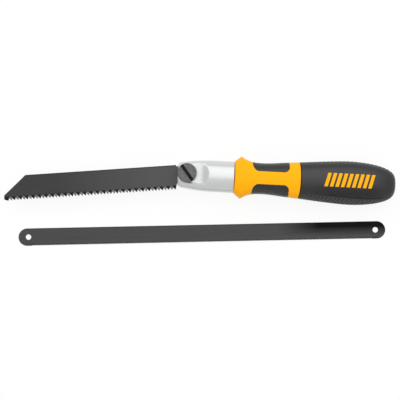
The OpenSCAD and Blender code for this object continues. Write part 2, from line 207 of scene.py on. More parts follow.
def surface_net(field, *axes):
    """Skin of the solid where the field is below zero, one point in each cell that the skin crosses.

    The solid stays inside the axes' ends.
    """
    values = field(*np.meshgrid(*axes, indexing="ij")).astype(np.float32)
    cells = tuple(len(a) - 1 for a in axes)
    total, count = np.zeros(cells + (3,), np.float32), np.zeros(cells, np.float32)
    steps = np.eye(3, dtype=int)
    crossings = []
    for axis in range(3):
        index = np.argwhere(np.diff(values < 0, axis=axis))
        after = index + steps[axis]
        a, b = values[tuple(index.T)], values[tuple(after.T)]
        points = np.stack([axes[d][index[:, d]] for d in range(3)], -1)
        points[:, axis] += a / (a - b) * (axes[axis][after[:, axis]] - points[:, axis])
        one, other = np.delete(steps, axis, 0)
        beside = [tuple((index - step).T) for step in (0 * one, other, one, one + other)]
        for cell in beside:
            np.add.at(total, cell, points)
            np.add.at(count, cell, 1)
        crossings.append(beside)
    active = count > 0
    number = np.full(cells, -1, np.int64)
    number[active] = np.arange(active.sum())
    verts = (total[active] / count[active][:, None]).astype(float)
    round_edge = (3, 1, 0, 2)
    faces = [np.stack([number[beside[k]] for k in round_edge], -1) for beside in crossings]
    step = min(np.diff(a).min() for a in axes) * NET_MOVE_SHARE
    for _ in range(NET_PASSES):
        value = field(*verts.T)
        slope = np.stack([(field(*(verts + d).T) - field(*(verts - d).T)) / (2 * NET_NUDGE)
                          for d in np.eye(3) * NET_NUDGE], -1)
        move = value[:, None] * slope / np.maximum((slope ** 2).sum(-1), LEAST_SQUARE)[:, None]
        size = np.linalg.norm(move, axis=1)
        verts -= move * np.minimum(1, step / np.maximum(size, LEAST_MOVE))[:, None]
    return verts, np.concatenate(faces).tolist()


def grid_steps(*stops):
    """Places from the first stop on, as (from, to, step) stretches."""
    places = [np.linspace(a, b, max(2, round((b - a) / step) + 1))[:-1] for a, b, step in stops]
    return np.concatenate(places + [[stops[-1][1]]])


# Materials

# Where a blade's finish changes, in millimetres along it or across it
TIP_SHADE, BACK_SHADE = (-95, -25), (5.6, 6.6)
HACK_BACK_SHADE, HACK_TEETH_SHADE = (5.2, 6.1), (-4.5, -5.8)
HACK_END_SHADE, HACK_SIDE_SHADE = (55, 85), (-4, 3)


class Nodes:
    """Short way to build one material's nodes."""

    def __init__(self, name, metallic=0.0, specular=0.5):
        self.material = bpy.data.materials.new(name)
        self.material.use_nodes = True
        self.tree = self.material.node_tree
        self.shader = self.tree.nodes["Principled BSDF"]
        self.use("Metallic", metallic)
        self.use("Specular IOR Level", specular)
        # Place on the object, in metres
        self.where = self.add("ShaderNodeTexCoord", {})["Object"]

    def feed(self, socket, value):
        """Link an output to a socket, or set the socket to a colour or a number."""
        if isinstance(value, bpy.types.NodeSocket):
            self.tree.links.new(value, socket)
        else:
            socket.default_value = (*value, 1) if socket.type == "RGBA" else value

    def use(self, key, value):
        self.feed(self.shader.inputs[key], value)

    def add(self, kind, inputs, **settings):
        """Outputs of a new node whose inputs are linked or set."""
        node = self.tree.nodes.new(kind)
        for key, value in settings.items():
            setattr(node, key, value)
        for key, value in inputs.items():
            self.feed(node.inputs[key], value)
        return node.outputs

    def turned(self, angle, place):
        """Distances along and across a line through place, in metres, and both as one vector."""
        inputs = {"Vector": self.where, "Location": tuple(place * MM), "Rotation": (0, 0, angle)}
        vector = self.add("ShaderNodeMapping", inputs, vector_type="TEXTURE")["Vector"]
        parts = self.add("ShaderNodeSeparateXYZ", {"Vector": vector})
        return parts["X"], parts["Y"], vector

    def noise(self, per_m, detail=3.0, where=None):
        """Noise of so many spots per metre."""
        inputs = {"Vector": where or self.where, "Scale": per_m, "Detail": detail, "Roughness": 0.55}
        return self.add("ShaderNodeTexNoise", inputs)["Fac"]

    def streaks(self, per_m, share, where):
        """Noise drawn out along a line, at so small a share of its scale."""
        drawn = self.add("ShaderNodeMapping", {"Vector": where, "Scale": (share, 1, 1)})["Vector"]
        return self.noise(per_m, where=drawn)

    def attribute(self, key):
        return self.add("ShaderNodeAttribute", {}, attribute_name=key)["Fac"]

    def math(self, operation, a, b):
        return self.add("ShaderNodeMath", {0: a, 1: b}, operation=operation)[0]

    def ramp(self, fac, low, high, start=0.0, end=1.0):
        """Number from low to high as fac goes from start to end."""
        inputs = {"Value": fac, "From Min": start, "From Max": end, "To Min": low, "To Max": high}
        return self.add("ShaderNodeMapRange", inputs)["Result"]

    def span(self, distance, places, most=1.0):
        """Number from 0 to most as a distance goes between two places in millimetres."""
        return self.ramp(distance, 0, most, *(place * MM for place in places))

    def mix(self, fac, a, b):
        """Colour from a to b; each is a colour or an output."""
        return self.add("ShaderNodeMix", {"Factor": fac, 6: a, 7: b}, data_type="RGBA")[2]

    def color(self, fac, a, b):
        self.use("Base Color", self.mix(fac, a, b))

    def finish(self, per_m, low, high):
        """Roughness from low to high, in so many spots per metre."""
        self.use("Roughness", self.ramp(self.noise(per_m), low, high))

    def grain(self, per_m, detail, height_mm, strength):
        """Fine relief of that height."""
        inputs = {"Height": self.noise(per_m, detail), "Distance": height_mm * MM, "Strength": strength}
        self.use("Normal", self.add("ShaderNodeBump", inputs)["Normal"])


def linear(*rgb):
    """Scene colour of a colour given in 0 to 255."""
    shares = [v / 255 for v in rgb]
    return tuple(v / 12.92 if v <= 0.04045 else ((v + 0.055) / 1.055) ** 2.4 for v in shares)


def grey(level):
    return linear(level, level, level)


def yellow_plastic():
    m = Nodes("yellow_plastic", specular=0.1)
    m.color(m.noise(40), linear(255, 172, 3), linear(255, 178, 7))
    m.finish(900, 0.38, 0.5)
    m.grain(2500, 2, 0.02, 0.35)
    return m.material


def dark_rubber():
    """Matt rubber with a painted highlight on the rib crests and below the groove line, and painted shade,
    darker and duller, in the grooves, the rib valleys and along the lower side.
    """
    m = Nodes("dark_rubber")
    body = m.mix(m.noise(150), linear(13, 12, 12), linear(21, 20, 20))
    # Painted highlight on the rib crests and in the band below the groove line
    body = m.mix(m.attribute("painted_highlight"), body, linear(55, 53, 53))
    # Painted shade, darker and less glossy, in the grooves, in the rib valleys and along the lower side
    painted_shade = m.attribute("painted_shade")
    m.color(painted_shade, body, grey(4))
    m.use("Specular IOR Level", m.ramp(painted_shade, 0.62, 0.3))
    m.finish(1200, 0.36, 0.52)
    m.grain(5000, 2, 0.03, 0.5)
    return m.material


def cast_aluminium():
    m = Nodes("cast_aluminium", metallic=0.45)
    m.color(m.noise(120), (0.59, 0.60, 0.60), (0.63, 0.64, 0.64))
    m.finish(1500, 0.27, 0.38)
    m.grain(2200, 4, 0.02, 0.3)
    return m.material


def blade_steel():
    """Streaked black oxide, darker towards the tip and along the back; the teeth's darkness is hardened
    steel's blackening plus painted shade.
    """
    m = Nodes("blade_steel", metallic=0.3)
    u, v, blade_space = m.turned(BLADE_DROOP, CLAMP)
    body = m.mix(m.span(u, TIP_SHADE), linear(32, 31, 33), linear(61, 61, 63))
    body = m.mix(m.ramp(m.streaks(600, 0.08, blade_space), 0, 0.12), body, linear(80, 79, 81))
    body = m.mix(m.span(v, BACK_SHADE, 0.9), body, linear(14, 14, 15))
    # Darkness of the teeth: blackened hardened steel, with painted shade at the tips, above them and in the
    # gullets
    dark = m.ramp(m.attribute("dark"), 0, 1, 0.05, 0.55)
    m.color(dark, body, grey(4))
    m.use("Specular IOR Level", m.ramp(dark, 0.5, 0.25))
    m.finish(900, 0.35, 0.5)
    m.grain(1800, 4, 0.01, 0.4)
    return m.material


def ground_steel():
    m = Nodes("ground_steel", metallic=0.8)
    m.use("Base Color", (0.25, 0.25, 0.26))
    m.finish(3000, 0.28, 0.45)
    return m.material


def hacksaw_steel():
    """Dark varnish, darker along both edges, with a painted dark reflection towards the right end, down
    from the back.
    """
    m = Nodes("hacksaw_steel", metallic=0.3)
    u, v, blade_space = m.turned(HACK_TURN, HANDLE_PLACE + (HACK_X, HACK_Y, 0))
    body = m.mix(m.streaks(500, 0.06, blade_space), linear(48, 46, 48), linear(62, 60, 62))
    for places in (HACK_BACK_SHADE, HACK_TEETH_SHADE):
        body = m.mix(m.span(v, places, 0.8), body, linear(26, 25, 26))
    # Painted dark reflection: darker and less glossy towards the right end, down from the back
    shade = m.math("MULTIPLY", m.span(u, HACK_END_SHADE), m.span(v, HACK_SIDE_SHADE))
    m.color(shade, body, grey(3))
    m.use("Specular IOR Level", m.ramp(shade, 0.5, 0.12))
    m.finish(700, 0.3, 0.45)
    m.grain(1500, 4, 0.01, 0.4)
    return m.material


def blackened_steel():
    m = Nodes("blackened_steel", metallic=0.2)
    m.color(m.ramp(m.noise(1100), 0, 1, 0.35, 0.65), grey(76), grey(102))
    m.finish(1500, 0.45, 0.6)
    m.grain(2500, 3, 0.02, 0.5)
    return m.material


def painted_slot_shade():
    # Painted shade in the coin slot, standing in for the shade of its depth
    m = Nodes("painted_slot_shade", specular=0.2)
    m.color(m.noise(900), grey(10), grey(22))
    m.use("Roughness", 0.6)
    return m.material


def zinc_steel():
    m = Nodes("zinc_steel", metallic=1.0)
    m.color(m.noise(300), (0.58, 0.59, 0.61), (0.68, 0.69, 0.69))
    m.finish(1200, 0.22, 0.4)
    return m.material


def white_table():
    """Pale matt floor that the camera, mirror-like surfaces and glass see as almost white."""
    m = Nodes("white_table")
    m.use("Base Color", (0.92, 0.92, 0.92))
    m.use("Roughness", 0.6)
    seen = m.add("ShaderNodeLightPath", {})
    share = m.math("MAXIMUM", seen["Is Camera Ray"], seen["Is Glossy Ray"])
    share = m.math("MULTIPLY", m.math("MAXIMUM", share, seen["Is Transmission Ray"]), 0.88)
    glow = m.add("ShaderNodeEmission", {"Color": (1, 1, 1)})[0]
    mixed = m.add("ShaderNodeMixShader", {"Fac": share, 1: m.shader.outputs[0], 2: glow})[0]
    m.feed(m.tree.nodes["Material Output"].inputs["Surface"], mixed)
    return m.material


# Finger pads and the yellow core between them

LIP, COLLAR_LIP, CORE_EDGE_R, SEAM = 0.45, 1.0, 0.3, 0.02
NOSE_END, TAIL_FROM = PAD_FRONT + PAD_NOSE, PAD_BACK - PAD_CORNER
LIP_STEPS = np.array([0, 0.03, 0.1, 0.2, 0.32, LIP])
RING_BOW, COLLAR_BOW, BOW_REACH = 0.9, 0.6, 3.0
LOOP_STEPS = 40
# Angles, in radians: rows close to a web's edges, its wide rows' start, and the pads' play
WEB_STEPS = np.array([0, 0.004, 0.01, 0.02, 0.034, 0.05])
WEB_LIP, PAD_SEAM, PAD_PLAY = 0.09, 0.02, 0.004
PAD_POINTS, WEB_POINTS = 41, 25
# Section whose angles the socket's points follow, and reach of the fine rows beside the guard's ridge
SOCKET_SECTION_AT, GUARD_ROWS = 34.3, 0.5
# Distance of the next row from fine rows, from the ring's lips and from the rubber's front
ROW_GAP, RING_GAP, TAIL_GAP = 0.3, 0.8, 1.5
# Where a pad's nose rows start, in radians, and the shares of its edge angle at its lips and inside them
NOSE_TURN, PAD_LIP_SHARE, PAD_MIDDLE_SHARE = 0.28, 0.09, 0.93


def pad_edge(x):
    """Height of a pad's lower edge above the handle's axis, seen from the side."""
    nose = 1 - fade(x, PAD_FRONT, PAD_NOSE)
    tail = fade(x, TAIL_FROM, PAD_CORNER)
    front, back = (1 - np.sqrt(1 - share ** 2) for share in (nose, tail))
    return WEB_HALF + np.maximum((PAD_START_HALF - WEB_HALF) * front, PAD_CORNER * back)


def edge_angle(x):
    """Angle on the handle's section at which the pad's edge runs."""
    inner = np.clip(x, PAD_FRONT, PAD_BACK)
    return np.arccos((pad_edge(inner) / grip_halves(inner)[0]) ** (SECTION_POWER / 2))


def section_points(x, angles, inset=0.0):
    """Points of the handle's section at x, moved in by the inset."""
    up, out = grip_halves(x)
    y = (up - inset) * rounded(np.cos(angles))
    z = (out - inset) * rounded(np.sin(angles))
    return np.stack(np.broadcast_arrays(x, y, z), -1)


def pad_loops():
    """Points along the outlines of both pads on the handle's surface."""
    t = np.linspace(0, math.pi / 2, LOOP_STEPS)
    xs = np.concatenate([PAD_FRONT + PAD_NOSE * (1 - np.cos(t)),
                         np.linspace(NOSE_END, TAIL_FROM, LOOP_STEPS)[1:-1],
                         TAIL_FROM + PAD_CORNER * np.sin(t)])
    side = edge_angle(xs)
    across = np.linspace(-1, 1, LOOP_STEPS)
    parts = [section_points(xs, side), section_points(xs, -side)]
    parts += [section_points(x, across * edge_angle(x)) for x in (PAD_FRONT, PAD_BACK)]
    upper = np.concatenate(parts)
    return np.concatenate([upper, upper * (1, -1, 1)])


PAD_LOOPS = pad_loops()


def edge_distance(points):
    """Distance of each point from the pads' outlines."""
    near = np.full(points.shape[:-1], np.inf)
    for spot in PAD_LOOPS:
        near = np.minimum(near, np.linalg.norm(points - spot, axis=-1))
    return near


def roll_over(distance, radius):
    """Depth of an edge rounded with that radius, at a distance from the edge."""
    left = np.clip(radius - distance, 0, radius)
    return radius - np.sqrt(radius ** 2 - left ** 2)


def cosine_steps(a, b, count):
    """Places from a to b, close together near a."""
    return a + (b - a) * (1 - np.cos(np.linspace(0, math.pi / 2, count + 1)))


def bulged(points, edge, amount):
    """The points with the section at edge bowed back in the middle of each face."""
    bow = np.clip((points[..., 2] / grip_halves(edge)[1]) ** 2 - 0.5, -0.5, 0.5)
    near = np.exp(-((points[..., 0] - edge) / BOW_REACH) ** 2)
    return points + (amount * bow * near)[..., None] * (1, 0, 0)


def shank_ring(x, tall_half, angles):
    """Section of the shank's socket in the core, with as many points as the skin."""
    ring = section_points(SOCKET_SECTION_AT, angles)
    thick_half = SHANK_THICK / 2 + SEAT_GAP
    ring /= np.maximum(np.abs(ring[:, 1]) / tall_half, np.abs(ring[:, 2]) / thick_half)[:, None]
    ring[:, 0] = x
    return ring


def core_angles(edge):
    """Angles round the section: the pads' arcs and the webs' arcs, split at the edge angle."""
    pad = np.linspace(-1, 1, PAD_POINTS) * (edge - PAD_SEAM)
    half = math.pi / 2 - edge
    middle = np.linspace(-half + WEB_LIP, half - WEB_LIP, WEB_POINTS)
    web = np.concatenate([WEB_STEPS - half, middle, half - WEB_STEPS[::-1]])
    return np.concatenate([pad, math.pi / 2 + web, math.pi + pad, 3 * math.pi / 2 + web])


def handle_core():
    """Collar, guard, webs and ring, with beds for the pads, a tail under the rubber and a keyed socket."""
    xs = np.concatenate([
        COLLAR_AT + LIP_STEPS / LIP * COLLAR_LIP,
        np.linspace(COLLAR_AT + COLLAR_LIP + ROW_GAP, GUARD_AT - GUARD_ROWS - 0.2, 7),
        GUARD_AT + np.linspace(-GUARD_ROWS, GUARD_ROWS, 9),
        np.linspace(GUARD_AT + GUARD_ROWS + ROW_GAP, PAD_FRONT - LIP - ROW_GAP, 18),
        PAD_FRONT - LIP_STEPS[::-1],
        cosine_steps(PAD_FRONT + SEAM, NOSE_END, 22)[:-1],
        np.linspace(NOSE_END, TAIL_FROM, 18)[:-1],
        (PAD_FRONT + PAD_BACK) - cosine_steps(PAD_FRONT + SEAM, PAD_FRONT + PAD_CORNER, 14)[::-1],
        PAD_BACK + LIP_STEPS,
        np.linspace(PAD_BACK + RING_GAP, RUBBER_AT - RING_GAP, 12),
        RUBBER_AT - LIP_STEPS[::-1]])
    angles = np.stack([core_angles(edge_angle(x)) for x in xs])
    in_pad = np.tile(np.repeat([True, False], [PAD_POINTS, WEB_POINTS + 2 * len(WEB_STEPS)]), 2)
    x = xs[:, None]
    in_bed = in_pad & (x > PAD_FRONT + SEAM / 2) & (x < PAD_BACK - SEAM / 2)
    edges = roll_over(edge_distance(section_points(x, angles)), CORE_EDGE_R)
    depth = np.where(in_bed, PAD_T + SEAT_GAP, edges)
    depth = depth + roll_over(x - COLLAR_AT, COLLAR_LIP) + roll_over(RUBBER_AT - x, LIP)
    skin = bulged(section_points(x, angles, depth), RUBBER_AT, RING_BOW)
    skin = bulged(skin, COLLAR_AT, COLLAR_BOW)
    tail_x = [RUBBER_AT, *np.linspace(RUBBER_AT + TAIL_GAP, BUTT_AT - BUTT_RUBBER, 16)]
    tail = [section_points(x, angles[-1], RUBBER_T + SEAT_GAP) for x in tail_x]
    half = SHANK_TALL / 2 + SEAT_GAP
    keyed = half - NOTCH_DEEP
    socket = [shank_ring(x, h, angles[0]) for x, h in (
        (SHANK_END + SEAT_GAP, half), (NOTCH_TO, half), (NOTCH_TO - SEAM, keyed),
        (NOTCH_FROM + SEAM, keyed), (NOTCH_FROM, half), (COLLAR_AT, half))]
    new_piece("core_skin", *loft([*socket, *skin, *tail]), [YELLOW],
              "handle", "yellow_plastic", "handle_core")


def finger_pad(side):
    """A pad's closed solid: its outer skin, rolled edges and underside."""
    lip = LIP_STEPS[:-1] / 2
    xs = np.concatenate([
        PAD_FRONT + SEAT_GAP + lip,
        PAD_FRONT + PAD_NOSE * (1 - np.cos(np.linspace(NOSE_TURN, math.pi / 2, 22)))[:-1],
        np.linspace(NOSE_END, TAIL_FROM, 18)[:-1],
        PAD_BACK - PAD_CORNER * (1 - np.sin(np.linspace(0, math.pi / 2 - ROW_GAP, 12))),
        PAD_BACK - SEAT_GAP - lip[::-1]])
    edge = (edge_angle(xs) - PAD_PLAY)[:, None]
    half_shares = np.concatenate([1 - LIP_STEPS * PAD_LIP_SHARE, np.linspace(PAD_MIDDLE_SHARE, 0, 30)])
    angles = edge * np.concatenate([-half_shares, half_shares[::-1][1:]])
    x = xs[:, None]
    depth = roll_over(edge_distance(section_points(x, angles)), LIP)
    under = section_points(x, edge * np.linspace(1, -1, 21), PAD_T)
    rings = np.concatenate([section_points(x, angles, depth), under], 1) * (1, side, 1)
    name = "upper" if side > 0 else "lower"
    new_piece(name + "_pad_skin", *loft(rings), [RUBBER], "handle", "dark_rubber", name + "_finger_pad")


# Rubber sleeve of the palm grip

RIB_PITCH, RIB_DEEP, RIB_LEAN = 2.88, 0.5, 0.6
LOW_BAND, HIGH_BAND, BAND_SOFT = 3.5, 2.0, 0.5
LINE_SHARES = ((0, 0.66), (0.35, 0.67), (0.7, 0.71), (1, 0.77))
LINE_DEEP, LINE_HALF, LINE_SOFT, LINE_LAST = 0.5, 0.6, 0.6, 8
# Start and reach of the stretch in which each comes in, from the rubber's front or from the butt
LOW_RIBS_FROM, HIGH_RIBS_FROM, RIBS_TO = (3.5, 2), (11, 2), (1.6, 1.5)
LINE_FROM, LINE_TO, LOWER_SHADE_FROM, LOWER_SHADE_TO, LOWER_SHADE_BELOW = (14, 8), (6, 4), (8, 14), (9, 8), (0, 4)
# Shares of the painted highlight below the line, and of the painted shade along the lower side and in the
# rib valleys
BELOW_HIGHLIGHT_SHARE, LOWER_SHADE_SHARE, VALLEY_SHADE_SHARE = 0.3, 0.4, 0.35
SLEEVE_GAP, SLEEVE_LIP, SLEEVE_ROW, SLEEVE_TAIL = 0.35, 0.8, 0.3, 14
# Share of the height above which, and below minus which, the section's points lie close together
FINE_SHARE = 0.55


def rib_shapes(x, y, arc):
    """Ribs along the grip's edges and the line above the lower ones: depth, painted highlight share,
    painted shade share.
    """
    up = grip_halves(x)[0]
    front, rear = x - RUBBER_AT, BUTT_AT - x
    low = fade(LOW_BAND - up - y, 0, BAND_SOFT) * fade(front, *LOW_RIBS_FROM)
    high = fade(HIGH_BAND - up + y, 0, BAND_SOFT) * fade(front, *HIGH_RIBS_FROM)
    band = np.maximum(low, high) * fade(rear, *RIBS_TO)
    valley = np.cos(np.pi * (x - RIB_LEAN * arc) / RIB_PITCH) ** 4
    over_line = y + up * along(LINE_SHARES, fade(front, 0, BUTT_AT - LINE_LAST - RUBBER_AT))
    ends = fade(front, *LINE_FROM) * fade(rear, *LINE_TO)
    line = ends * np.exp(-(over_line / LINE_HALF) ** 2)
    # Painted highlight in the band just below the line, and on the rib crests
    below = BELOW_HIGHLIGHT_SHARE * ends * fade(-over_line, 0, LINE_SOFT)
    painted_highlight = np.maximum(band * (1 - valley ** 0.5), below * (1 - band))
    # Painted shade along the lower side and in the rib valleys; the line's groove is shaded too
    lower = fade(front, *LOWER_SHADE_FROM) * fade(rear, *LOWER_SHADE_TO)
    lower = lower * fade(-y, *LOWER_SHADE_BELOW) * fade(over_line, -LINE_SOFT, LINE_SOFT)
    painted_shade = np.maximum(LOWER_SHADE_SHARE * lower, VALLEY_SHADE_SHARE * band * valley)
    return RIB_DEEP * band * valley + LINE_DEEP * line, painted_highlight, np.maximum(line, painted_shade)


def palm_grip():
    """Ribbed sleeve with a rolled front edge, closed over the core's tail."""
    limit = math.acos(FINE_SHARE ** (SECTION_POWER / 2))
    quarter = np.concatenate([np.linspace(0, limit, 46)[:-1], np.linspace(limit, math.pi / 2, 11)])
    half = np.concatenate([quarter, math.pi - quarter[::-1][1:]])
    angles = np.concatenate([half, half[1:-1] + math.pi])
    start, tail_at = RUBBER_AT + SLEEVE_GAP, BUTT_AT - SLEEVE_TAIL
    xs = np.concatenate([
        start + np.array([0, 0.03, 0.1, 0.22, 0.38, 0.58, SLEEVE_LIP]),
        np.arange(start + SLEEVE_LIP + 0.25, tail_at - 0.1, SLEEVE_ROW),
        tail_at + SLEEVE_TAIL * np.sin(np.linspace(0, math.pi / 2, 60))])
    x = xs[:, None]
    nominal = section_points(x, angles)
    steps = np.linalg.norm(np.diff(nominal, axis=1, append=nominal[:, :1]), axis=2)
    arc = np.cumsum(steps, 1) - steps
    whole = steps.sum(1, keepdims=True)
    from_top = np.minimum(arc, whole - arc) * np.where(arc < whole / 2, 1, -1)
    arc = np.where(np.cos(angles) > 0, -from_top, whole / 2 - arc)
    ribs, painted_highlight, painted_shade = rib_shapes(x, nominal[..., 1], arc)
    depth = ribs + roll_over(x - start, SLEEVE_LIP)
    skin = bulged(section_points(x, angles, depth), RUBBER_AT, RING_BOW)
    inner_x = np.linspace(BUTT_AT - BUTT_RUBBER + SEAT_GAP, start, 14)
    inner = [section_points(x, angles, RUBBER_T) for x in inner_x]
    inner[-1] = bulged(inner[-1], RUBBER_AT, RING_BOW)
    plain = np.zeros(len(inner) * len(angles))
    shades = {"painted_highlight": [*plain, *painted_highlight.ravel(), 0, 0], "painted_shade": [*plain, *painted_shade.ravel(), 0, 0]}
    new_piece("palm_grip_rubber", *loft([*inner, *skin]), [RUBBER],
              "handle", "dark_rubber", "palm_grip_sleeve", attributes=shades)


# Badge of slanted bars

BARS, BAR_PITCH, BAR_W, BAR_TALL, BAR_LEAN, BAR_DEEP, BAR_PROUD = 9, 3.9, 2.5, 9.8, 2.6, 1.2, 0.3
BADGE_AT, BADGE_UP, BAR_EDGE_R, BAR_ROWS_IN = 115.7, 1.0, 0.3, 0.5


def bar_steps(half, count):
    """Places from one side of a bar to the other, close together at its rounded edges."""
    lip = np.array([0, 0.03, 0.1, 0.2, BAR_EDGE_R])
    middle = np.linspace(-half + BAR_ROWS_IN, half - BAR_ROWS_IN, count)
    return np.concatenate([-half + lip, middle, half - lip[::-1]])


def section_out(y, up, out):
    """How far a section of those halves reaches out at height y."""
    return out * (1 - (np.abs(y) / up) ** SECTION_POWER) ** (1 / SECTION_POWER)


def badge_bar(index, side):
    """One bar: rows across it, each a closed ring along the bar's section."""
    middle = BADGE_AT + (index - (BARS - 1) / 2) * BAR_PITCH
    us = bar_steps(BAR_W / 2, 6)
    rings = []
    for v in bar_steps(BAR_TALL / 2, 16):
        x, y = middle + us + BAR_LEAN * v / BAR_TALL, BADGE_UP + v
        up, out = grip_halves(x)
        edge = np.minimum(BAR_W / 2 - np.abs(us), BAR_TALL / 2 - abs(v))
        top = section_out(y, up + BAR_PROUD, out + BAR_PROUD * FACET_SHARE) - roll_over(edge, BAR_EDGE_R)
        bottom = section_out(y, up - BAR_DEEP, out - BAR_DEEP)
        ring = np.broadcast_arrays([*x, *x[::-1]], y, [*top * side, *bottom[::-1] * side])
        rings.append(np.stack(ring, -1))
    return loft(rings)


def badge(side):
    name = "front" if side > 0 else "rear"
    verts, faces = [], []
    for i in range(BARS):
        points, skin = badge_bar(i, side)
        faces += [[v + len(verts) for v in face] for face in skin]
        verts += points.tolist()
    new_piece(name + "_badge", verts, faces, [YELLOW], "handle", "yellow_plastic", name + "_badge_bars")


# Clamp head

POCKET_FLOOR, POCKET_FLAT, POCKET_RAMP, POCKET_CORNER, POCKET_HALF = 7.8, 11.0, 4.8, 4.0, 7.1
PARTING_Z, SCREW_HOLE_R, SHANK_ROOT = 0.685, 2.15, 1.5
CHANNEL_HALF, CHANNEL_END, CHANNEL_DEEP, BLADE_DROOP = 6.5, 24.0, 0.685, math.radians(6.7)
NUT_FLATS, NUT_TOP = 7.06, -5.9
# Reach over which edges and hollows are rounded
END_SOFT, EDGE_SOFT, CHANNEL_SOFT, POCKET_SOFT, RAMP_SOFT = 0.5, 0.3, 0.25, 0.8, 2.0
# Cells of the casting's net, cells of its hidden shank, and room round the nets
HEAD_CELL, SHANK_CELL, NET_ROOM = 0.24, 1.2, 0.3
HEAD_ENDS_ROOM, SHANK_ROOM, REAR_LOW_ROOM, REAR_HIGH_ROOM = 0.4, 1, 0.37, 0.33
# Least level and slope, which keep the head's field steady near its axis
LEAST_LEVEL, LEAST_SLOPE = 0.05, 0.02


def head_field(x, y, z):
    """Outside of the head: the handle's section, cut off square at both ends."""
    up = head_half(x, HEAD_FRONT_UP, HEAD_UP) * FACET_SHARE
    out = head_half(x, HEAD_FRONT_OUT, HEAD_OUT) * FACET_SHARE
    ny, nz, p = np.abs(y) / up, np.abs(z) / out, SECTION_POWER
    level = (ny ** p + nz ** p) ** (1 / p)
    safe = np.maximum(level, LEAST_LEVEL)
    slope = np.sqrt((ny / safe) ** (2 * p - 2) / up ** 2 + (nz / safe) ** (2 * p - 2) / out ** 2)
    side = (level - 1) / np.maximum(slope, LEAST_SLOPE)
    return smooth_max(side, np.maximum(-HEAD_FRONT - x, x - HEAD_BACK), END_SOFT)


def shank_field(x, y, z):
    """Bar with a notch at each side, which stands in the handle's core."""
    half = np.where((x > NOTCH_FROM) & (x < NOTCH_TO), SHANK_TALL / 2 - NOTCH_DEEP, SHANK_TALL / 2)
    ends = np.maximum(HEAD_BACK - SHANK_ROOT - x, x - SHANK_END)
    return np.maximum(np.maximum(np.abs(y) - half, np.abs(z) - SHANK_THICK / 2), ends)


def from_axis(x, y):
    """Distance from the clamp axis."""
    return np.hypot(x, y - CLAMP_UP)


def along_across(x, y, angle):
    """Distances along and across a line through the clamp axis."""
    c, s, dy = math.cos(angle), math.sin(angle), y - CLAMP_UP
    return x * c + dy * s, dy * c - x * s


def bore_field(x, y, z):
    return from_axis(x, y) - SCREW_HOLE_R


def pocket_field(x, y, z):
    """Space round the screw's head: a flat floor with a ramp at its end."""
    end = POCKET_FLAT + POCKET_RAMP
    du = x - (end - POCKET_CORNER)
    dv = np.abs(y - CLAMP_UP) - (POCKET_HALF - POCKET_CORNER)
    corner = np.hypot(np.maximum(du, 0), np.maximum(dv, 0)) - POCKET_CORNER
    outline = np.maximum(corner, np.minimum(np.maximum(du, dv), 0) - POCKET_CORNER)
    lift = HEAD_OUT - POCKET_FLOOR
    length = math.hypot(lift, POCKET_RAMP)
    ramp = ((x - POCKET_FLAT) * lift - (z - POCKET_FLOOR) * POCKET_RAMP) / length
    return smooth_max(smooth_max(POCKET_FLOOR - z, ramp, RAMP_SOFT), outline, POCKET_SOFT)


def channel_field(x, y, z):
    """The blade's channel in the rear half."""
    u, v = along_across(x, y, BLADE_DROOP)
    return np.maximum(np.maximum(np.abs(v) - CHANNEL_HALF, u - CHANNEL_END), -CHANNEL_DEEP - z)


def nut_outline(x, y):
    """Distance outside the hexagon of the nut's recess, seen from above."""
    reaches = [np.abs(along_across(x, y, t)[0]) for t in np.radians((30, 90, 150))]
    return np.max(reaches, axis=0) - NUT_FLATS / 2


def recess_field(x, y, z):
    return np.maximum(nut_outline(x, y), z - NUT_TOP)


def head_casting(name, node, side, low, high, tools):
    """The front half, side 1, or the rear half, side -1, cut by tools with the reach of their edges."""
    def field(x, y, z):
        solid = np.minimum(head_field(x, y, z), shank_field(x, y, z))
        solid = smooth_max(solid, side * (PARTING_Z - z), EDGE_SOFT)
        for tool, reach in tools:
            solid = cut(solid, tool(x, y, z), reach)
        return solid

    front, back = -HEAD_FRONT - HEAD_ENDS_ROOM, HEAD_BACK + HEAD_ENDS_ROOM
    xs = grid_steps((front, back, HEAD_CELL), (back, SHANK_END + SHANK_ROOM, SHANK_CELL))
    ys = grid_steps((-HEAD_UP - NET_ROOM, HEAD_UP + NET_ROOM, HEAD_CELL))
    net = surface_net(field, xs, ys, grid_steps((low, high, HEAD_CELL)))
    new_piece(name, *net, [CAST], "handle", "cast_aluminium", node, sharp=60)


def clamp_head():
    head_casting("head_front_casting", "head_front_half", 1, PARTING_Z - NET_ROOM, HEAD_OUT + NET_ROOM,
                 ((pocket_field, POCKET_SOFT), (bore_field, EDGE_SOFT)))
    head_casting("head_rear_casting", "head_rear_half", -1, -HEAD_OUT - REAR_LOW_ROOM,
                 PARTING_Z + REAR_HIGH_ROOM,
                 ((channel_field, CHANNEL_SOFT), (bore_field, EDGE_SOFT), (recess_field, EDGE_SOFT)))


# Clamp screw, washer and nut

SCREW_HEAD_R, SCREW_HEAD_T, SCREW_R, SCREW_LEN, NECK_LEN = 6.9, 2.5, 1.95, 17.8, 1.5
SLOT_W, SLOT_DEEP, SLOT_TURN = 2.1, 1.2, math.radians(-52)
WASHER_R, WASHER_T, WASHER_SPLIT, WASHER_EDGE = 3.8, 0.9, 0.8, 0.12
NUT_T, NUT_BORE_R, NUT_CHAMFER, MOUTH_CHAMFER, NUT_SOFT = 3.2, 1.99, 0.35, 0.25, 0.1
THREAD_PITCH, THREAD_DEEP, THREAD_START, THREAD_POWER = 0.7, 0.3, 0.4, 1.3
SEAT_Z = POCKET_FLOOR + WASHER_T
TIP_Z = SEAT_Z - SCREW_LEN
HEAD_BEVEL, TIP_BEVEL, SLOT_SOFT, SLOT_EDGE_SOFT = 0.7, 0.5, 0.5, 0.25
